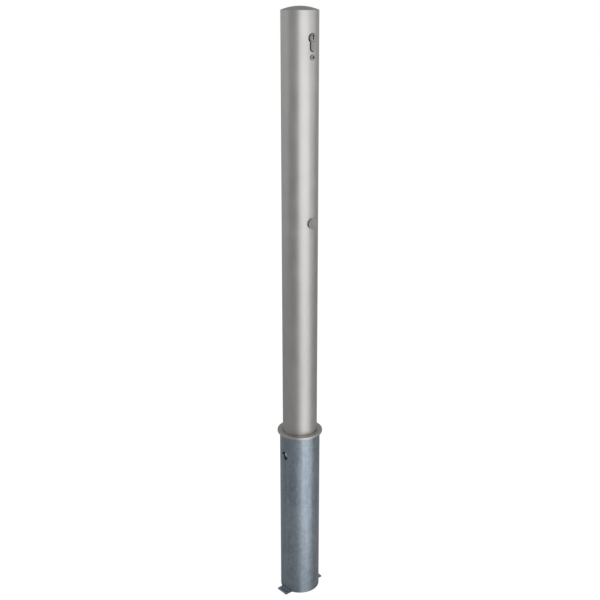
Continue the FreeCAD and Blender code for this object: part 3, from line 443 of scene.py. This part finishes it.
def socket_shaded_screw(post, middle):
    """The screw that shows on the front, with painted shade darkening its socket, round an axis along Y."""
    finish, _ = tumbled_steel("socket_shaded_screw", post)
    from_axis = vector_step(finish.material, "SUBTRACT", finish.object_place, middle)
    across = vector_step(finish.material, "MULTIPLY", from_axis, (1.0, 0.0, 1.0))
    reach = vector_step(finish.material, "LENGTH", across)
    unshaded = map_value(finish.material, reach, start=0.45 * post.socket_shade, end=0.6 * post.socket_shade)
    # Painted shade: the socket is darkened to stand in for the shade that falls inside it.
    finish.shades(unshaded, dark=0.12, light=1.0, low=0.0, high=1.0)
    return finish.material


def bare_brass(lock):
    """Turned brass pins."""
    finish = Finish("bare_brass", lock.pins, roughness=0.28)
    marks = finish.noise(finish.place(scale=(200, 200, 9000)))
    finish.shades(marks, dark=0.85, light=1.05)
    finish.dull(marks, low=0.22, high=0.36)
    finish.relief(marks, depth=0.004 * MILLIMETRE)
    return finish.material


def spring_wire(lock):
    """Drawn wire with fine die marks."""
    finish = Finish("spring_wire", lock.springs, roughness=0.32)
    marks = finish.noise(finish.place(), per_metre=2400.0)
    finish.shades(marks, dark=0.8, light=1.08)
    finish.dull(marks, low=0.26, high=0.42)
    return finish.material


def moulded_plastic(works):
    """Black moulded plastic with a fine spark-eroded grain."""
    finish = Finish("moulded_plastic", works.plastic, roughness=0.5, metallic=0.0)
    grain = finish.noise(finish.place(), per_metre=2600.0, detail=3.0)
    dust = finish.noise(finish.place(), per_metre=60.0, detail=4.0, rough=0.6)
    finish.shades(dust, dark=0.8, light=1.6, low=0.4, high=0.7)
    finish.dull(dust, low=0.42, high=0.62)
    finish.relief(grain, depth=0.02 * MILLIMETRE)
    return finish.material


def weld_metal(sleeve):
    """A weld bead under the zinc coat, a little darker and rougher than the sleeve."""
    finish = Finish("weld_metal", sleeve.zinc, sleeve.zinc_roughness + 0.15)
    clouds = finish.noise(finish.place(), per_metre=420.0, detail=4.0, rough=0.6)
    finish.shades(clouds, dark=(0.5, 0.58, 0.62), light=(0.82, 0.93, 1.0))
    finish.dull(clouds, low=sleeve.zinc_roughness + 0.16, high=sleeve.zinc_roughness + 0.32)
    finish.relief(clouds, depth=0.08 * MILLIMETRE)
    return finish.material


class LOCKINGPOST_OT_finish_post(bpy.types.Operator):
    """Finish the post's tube and domed cap"""

    bl_idname = "lockingpost.finish_post"
    bl_label = "Finish Post"

    def execute(self, context):
        give(ground_steel(context.scene.locking_post.post), "post_tube", "top_cap")
        return {"FINISHED"}


class LOCKINGPOST_OT_finish_disc(bpy.types.Operator):
    """Finish the round disc at the front of the post"""

    bl_idname = "lockingpost.finish_disc"
    bl_label = "Finish Disc"

    def execute(self, context):
        steel = turned_steel("disc_steel", context.scene.locking_post.post.disc, roughness=0.27,
                             pitch=2.2 * MILLIMETRE, direction="Y", middle=middle_of(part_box("rod_guide")))
        give(steel, "rod_guide")
        return {"FINISHED"}


class LOCKINGPOST_OT_finish_screws(bpy.types.Operator):
    """Finish the socket screws and the cross pins"""

    bl_idname = "lockingpost.finish_screws"
    bl_label = "Finish Screws"

    def execute(self, context):
        post = context.scene.locking_post.post
        give(screw_steel(post), "cylinder_fixing_screw", "keeper_screws", "block_grub_screws",
             "rod_pins", "bolt_drive_pin")
        # The front screw gets painted shade in its socket.
        give(socket_shaded_screw(post, middle_of(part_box("carrier_screw"))), "carrier_screw")
        return {"FINISHED"}


class LOCKINGPOST_OT_finish_lock(bpy.types.Operator):
    """Finish the cylinder housing, its plug, pins, springs and clip"""

    bl_idname = "lockingpost.finish_lock"
    bl_label = "Finish Lock"

    def execute(self, context):
        lock = context.scene.locking_post.lock
        give(nickel_plate("housing_nickel", lock.housing), "cylinder_housing")
        give(nickel_plate("plug_nickel", lock.plug, turn=(0, math.radians(90), 0)), "lock_plug")
        give(bare_brass(lock), "key_pins", "driver_pins", "chamber_plugs")
        give(spring_wire(lock), "pin_springs", "cam_clip")
        return {"FINISHED"}


class LOCKINGPOST_OT_finish_works(bpy.types.Operator):
    """Finish the carrier, the latch block and the works between them"""

    bl_idname = "lockingpost.finish_works"
    bl_label = "Finish Works"

    def execute(self, context):
        works = context.scene.locking_post.works
        give(machined_aluminium(works), "lock_carrier", "latch_block")
        give(zinc_plate(works), "cam_slider", "slider_keeper", "drive_rod", "wedge_plate", "lock_cam")
        steel = turned_steel("bolt_steel", works.bolt, roughness=0.22,
                             pitch=2.51 * MILLIMETRE, direction="X", middle=middle_of(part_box("latch_bolt")))
        give(steel, "latch_bolt")
        return {"FINISHED"}


class LOCKINGPOST_OT_finish_foot(bpy.types.Operator):
    """Finish the plastic plug in the post's foot"""

    bl_idname = "lockingpost.finish_foot"
    bl_label = "Finish Foot Plug"

    def execute(self, context):
        give(moulded_plastic(context.scene.locking_post.works), "foot_plug")
        return {"FINISHED"}


class LOCKINGPOST_OT_finish_sleeve(bpy.types.Operator):
    """Finish the galvanised sleeve, its anchor bar and centring ring"""

    bl_idname = "lockingpost.finish_sleeve"
    bl_label = "Finish Sleeve"

    def execute(self, context):
        zinc = galvanised_steel(context.scene.locking_post.sleeve)
        give(zinc, "ground_sleeve", "anchor_bar", "sleeve_centring_ring")
        return {"FINISHED"}


class LOCKINGPOST_OT_finish_collar(bpy.types.Operator):
    """Finish the stainless collar at the ground line"""

    bl_idname = "lockingpost.finish_collar"
    bl_label = "Finish Collar"

    def execute(self, context):
        sleeve = context.scene.locking_post.sleeve
        steel = turned_steel("collar_steel", sleeve.collar, sleeve.collar_roughness,
                             pitch=2.83 * MILLIMETRE)
        give(steel, "collar_ring")
        return {"FINISHED"}


def bead_mesh(weld):
    """A rippled bead round part of the sleeve's foot, centred on +X, that thins towards its ends."""
    steps_per_ripple = 8
    round_segments = 20
    thinnest, end_power = 0.05, 12
    middle = Vector((SLEEVE_RADIUS + weld.sink, 0, BAR_TOP + weld.sink))
    half_angle = math.asin((BAR_HALF_WIDTH - weld.end_gap) / middle.x)
    made = bmesh.new()
    ring = bmesh.ops.create_circle(made, segments=round_segments, radius=weld.radius)
    upright = Matrix.Translation(middle) @ Matrix.Rotation(math.radians(90), 4, "X")
    bmesh.ops.transform(made, matrix=upright, verts=ring["verts"])
    bmesh.ops.rotate(made, cent=(0, 0, 0), matrix=Matrix.Rotation(-half_angle, 3, "Z"), verts=made.verts)
    bmesh.ops.spin(made, geom=made.edges[:], cent=(0, 0, 0), axis=(0, 0, 1), angle=2 * half_angle,
                   steps=weld.ripples * steps_per_ripple, use_merge=False)
    for vertex in made.verts:
        angle = math.atan2(vertex.co.y, vertex.co.x)
        centre = Matrix.Rotation(angle, 3, "Z") @ middle
        travel = (angle / half_angle + 1) / 2
        ripple = weld.ripple_height * abs(math.sin(math.pi * weld.ripples * travel))
        end = math.sqrt(max(thinnest, 1 - abs(2 * travel - 1) ** end_power))
        outward = vertex.co - centre
        vertex.co = centre + outward.normalized() * (weld.radius - weld.ripple_height + ripple) * end
    bmesh.ops.holes_fill(made, edges=[edge for edge in made.edges if edge.is_boundary])
    bmesh.ops.recalc_face_normals(made, faces=made.faces[:])
    return made


class LOCKINGPOST_OT_add_weld_beads(bpy.types.Operator):
    """Add the rippled weld beads between the sleeve's foot and its anchor bar"""

    bl_idname = "lockingpost.add_weld_beads"
    bl_label = "Add Weld Beads"

    def execute(self, context):
        settings = context.scene.locking_post
        metal = weld_metal(settings.sleeve)
        for name, turn in (("weld_bead_right", 0.0), ("weld_bead_left", math.pi)):
            made = bead_mesh(settings.weld)
            about = Matrix.Rotation(turn, 3, "Z")
            bmesh.ops.rotate(made, cent=(0, 0, 0), matrix=about, verts=made.verts)
            mesh = bpy.data.meshes.new(name)
            made.to_mesh(mesh)
            made.free()
            mesh.shade_smooth()
            mesh.materials.append(metal)
            bead = bpy.data.objects.new(name, mesh)
            context.scene.collection.objects.link(bead)
            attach(bead, "sleeve")
        return {"FINISHED"}


def camera_side(studio):
    """Level direction from the post to the camera."""
    return Vector((math.sin(studio.azimuth), -math.cos(studio.azimuth), 0))


def painted_light_patch(material, studio):
    """A painted pool of light: a glowing part of the floor that only the metal sees, dimmer near the post and
    far off.

    It is laid out about a point inside the sleeve, on the camera's side."""
    place = material.node_tree.nodes.new("ShaderNodeTexCoord").outputs["Object"]
    level_place = vector_step(material, "MULTIPLY", place, (1.0, 1.0, 0.0))
    focus_share = 0.6
    focus = camera_side(studio) * SLEEVE_RADIUS * focus_share
    from_focus = vector_step(material, "SUBTRACT", level_place, focus)
    middle_line = (math.sin(studio.patch_azimuth), -math.cos(studio.patch_azimuth), 0)
    way = vector_step(material, "NORMALIZE", from_focus)
    along = vector_step(material, "DOT_PRODUCT", way, middle_line)
    slope = map_value(material, along, start=math.cos(studio.patch_spread), end=1.0)
    away = vector_step(material, "LENGTH", from_focus)
    level = map_value(material, away, start=0.05, end=0.5,
                      low=0.5 * studio.patch_level, high=studio.patch_level, ease="SMOOTHSTEP")
    fade = map_value(material, away, start=0.6, end=1.6, low=1.0, high=0.85, ease="SMOOTHSTEP")
    peaked = multiply(material, slope, slope)
    # Painted light: this emission makes the floor glow where the key lamp's pool of light would be.
    patch = material.node_tree.nodes.new("ShaderNodeEmission")
    strength = multiply(material, peaked, multiply(material, level, fade))
    material.node_tree.links.new(strength, patch.inputs["Strength"])
    return patch.outputs["Emission"]


def floor_material(studio):
    """White to the camera apart from a little shadow, and grey with a painted glowing patch of light to the
    metal.
    """
    material = bpy.data.materials.new("studio_floor")
    material.use_nodes = True
    nodes, links = material.node_tree.nodes, material.node_tree.links
    nodes.remove(nodes["Principled BSDF"])
    dark = nodes.new("ShaderNodeBsdfDiffuse")
    dark.inputs["Color"].default_value = (studio.floor_tone,) * 3 + (1.0,)
    grey = nodes.new("ShaderNodeAddShader")
    links.new(dark.outputs["BSDF"], grey.inputs[0])
    # The painted pool of light is added to the grey floor.
    links.new(painted_light_patch(material, studio), grey.inputs[1])
    pale = nodes.new("ShaderNodeBsdfDiffuse")
    pale.inputs["Color"].default_value = WHITE
    glow = nodes.new("ShaderNodeEmission")
    glow.inputs["Strength"].default_value = studio.floor_glow
    white = nodes.new("ShaderNodeMixShader")
    white.inputs["Fac"].default_value = 1 - studio.shadow
    links.new(pale.outputs["BSDF"], white.inputs[1])
    links.new(glow.outputs["Emission"], white.inputs[2])
    surface = nodes["Material Output"].inputs["Surface"]
    camera_choice(material, grey.outputs["Shader"], white.outputs["Shader"], surface)
    return material


def add_floor(context, studio):
    """A wide round floor just under the anchor bar."""
    made = bmesh.new()
    bmesh.ops.create_circle(made, cap_ends=True, segments=96, radius=studio.floor_radius)
    bmesh.ops.translate(made, vec=(0, 0, FLOOR_LEVEL - studio.floor_gap), verts=made.verts)
    mesh = bpy.data.meshes.new("studio_floor")
    made.to_mesh(mesh)
    made.free()
    mesh.materials.append(floor_material(studio))
    floor = bpy.data.objects.new("studio_floor", mesh)
    context.scene.collection.objects.link(floor)


def set_world(context, studio):
    """White behind the post for the camera, and a plain grey room that is darker behind the post."""
    world = bpy.data.worlds.new("studio_room")
    world.use_nodes = True
    nodes, links = world.node_tree.nodes, world.node_tree.links
    way = nodes.new("ShaderNodeTexCoord").outputs["Generated"]
    front = vector_step(world, "DOT_PRODUCT", way, camera_side(studio))
    level = map_value(world, front, start=-1.0, end=0.2,
                      low=studio.far_wall, high=studio.surround, ease="SMOOTHSTEP")
    room = nodes["Background"]
    room.inputs["Color"].default_value = WHITE
    links.new(level, room.inputs["Strength"])
    white = nodes.new("ShaderNodeBackground")
    white.inputs["Color"].default_value = WHITE
    surface = nodes["World Output"].inputs["Surface"]
    camera_choice(world, room.outputs["Background"], white.outputs["Background"], surface)
    context.scene.world = world


def add_panel(context, name, level, azimuth, distance, width, height, middle):
    """A soft rectangular lamp that faces the post. Level 1 looks as bright as white."""
    data = bpy.data.lights.new(name, "AREA")
    data.shape = "RECTANGLE"
    data.size = width
    data.size_y = height
    data.energy = level * math.pi * width * height
    panel = bpy.data.objects.new(name, data)
    turn = math.radians(azimuth)
    panel.location = (distance * math.sin(turn), -distance * math.cos(turn), middle)
    panel.rotation_euler = (math.radians(90), 0, turn)
    panel.visible_camera = False
    context.scene.collection.objects.link(panel)


def add_camera(context, studio):
    """The camera at the photograph's angle."""
    data = bpy.data.cameras.new("camera")
    data.sensor_width = SENSOR_WIDTH
    data.lens = studio.lens
    data.shift_x = studio.shift
    camera = bpy.data.objects.new("camera", data)
    camera.location = camera_side(studio) * studio.distance + Vector((0, 0, studio.height))
    camera.rotation_euler = (math.radians(90) - studio.pitch, 0, studio.azimuth)
    context.scene.collection.objects.link(camera)
    context.scene.camera = camera


class LOCKINGPOST_OT_add_stage(bpy.types.Operator):
    """Add the floor, the room, the lamps and the camera"""

    bl_idname = "lockingpost.add_stage"
    bl_label = "Add Stage"

    def execute(self, context):
        studio = context.scene.locking_post.studio
        add_floor(context, studio)
        set_world(context, studio)
        add_panel(context, "key_panel", studio.key_level,
                  azimuth=-18.5, distance=2.0, width=2.08, height=2.3, middle=1.0)
        add_panel(context, "side_panel", studio.side_level,
                  azimuth=37.5, distance=2.3, width=2.5, height=2.3, middle=1.0)
        add_panel(context, "rear_panel", studio.rear_level,
                  azimuth=-152.5, distance=2.6, width=4.4, height=2.6, middle=0.85)
        add_panel(context, "back_panel", studio.back_level,
                  azimuth=98.0, distance=2.3, width=1.5, height=2.3, middle=1.0)
        add_camera(context, studio)
        context.scene.view_settings.view_transform = "Standard"
        return {"FINISHED"}


OPERATORS = (
    LOCKINGPOST_OT_finish_post,
    LOCKINGPOST_OT_finish_disc,
    LOCKINGPOST_OT_finish_screws,
    LOCKINGPOST_OT_finish_lock,
    LOCKINGPOST_OT_finish_works,
    LOCKINGPOST_OT_finish_foot,
    LOCKINGPOST_OT_finish_sleeve,
    LOCKINGPOST_OT_finish_collar,
    LOCKINGPOST_OT_add_weld_beads,
    LOCKINGPOST_OT_add_stage,
)


class LOCKINGPOST_PT_sidebar(bpy.types.Panel):
    """The post's pieces and settings"""

    bl_idname = "LOCKINGPOST_PT_sidebar"
    bl_label = "Locking Post"
    bl_space_type = "VIEW_3D"
    bl_region_type = "UI"
    bl_category = "Locking Post"

    def draw(self, context):
        settings = context.scene.locking_post
        for group in (settings.post, settings.sleeve, settings.lock, settings.works, settings.weld,
                      settings.studio):
            box = self.layout.box()
            for name in group.bl_rna.properties.keys():
                if name not in ("rna_type", "name"):
                    box.prop(group, name)
        for operator in OPERATORS:
            self.layout.operator(operator.bl_idname)


CLASSES = (
    PostFinish,
    SleeveFinish,
    LockFinish,
    WorksFinish,
    WeldSizes,
    StudioSettings,
    LockingPostSettings,
    *OPERATORS,
    LOCKINGPOST_PT_sidebar,
)


def register():
    for each in CLASSES:
        bpy.utils.register_class(each)
    bpy.types.Scene.locking_post = PointerProperty(type=LockingPostSettings)


def unregister():
    del bpy.types.Scene.locking_post
    for each in reversed(CLASSES):
        bpy.utils.unregister_class(each)


def main():
    register()
    bpy.ops.lockingpost.finish_post()
    bpy.ops.lockingpost.finish_disc()
    bpy.ops.lockingpost.finish_screws()
    bpy.ops.lockingpost.finish_lock()
    bpy.ops.lockingpost.finish_works()
    bpy.ops.lockingpost.finish_foot()
    bpy.ops.lockingpost.finish_sleeve()
    bpy.ops.lockingpost.finish_collar()
    bpy.ops.lockingpost.add_weld_beads()
    bpy.ops.lockingpost.add_stage()


if __name__ == "__main__":
    main()
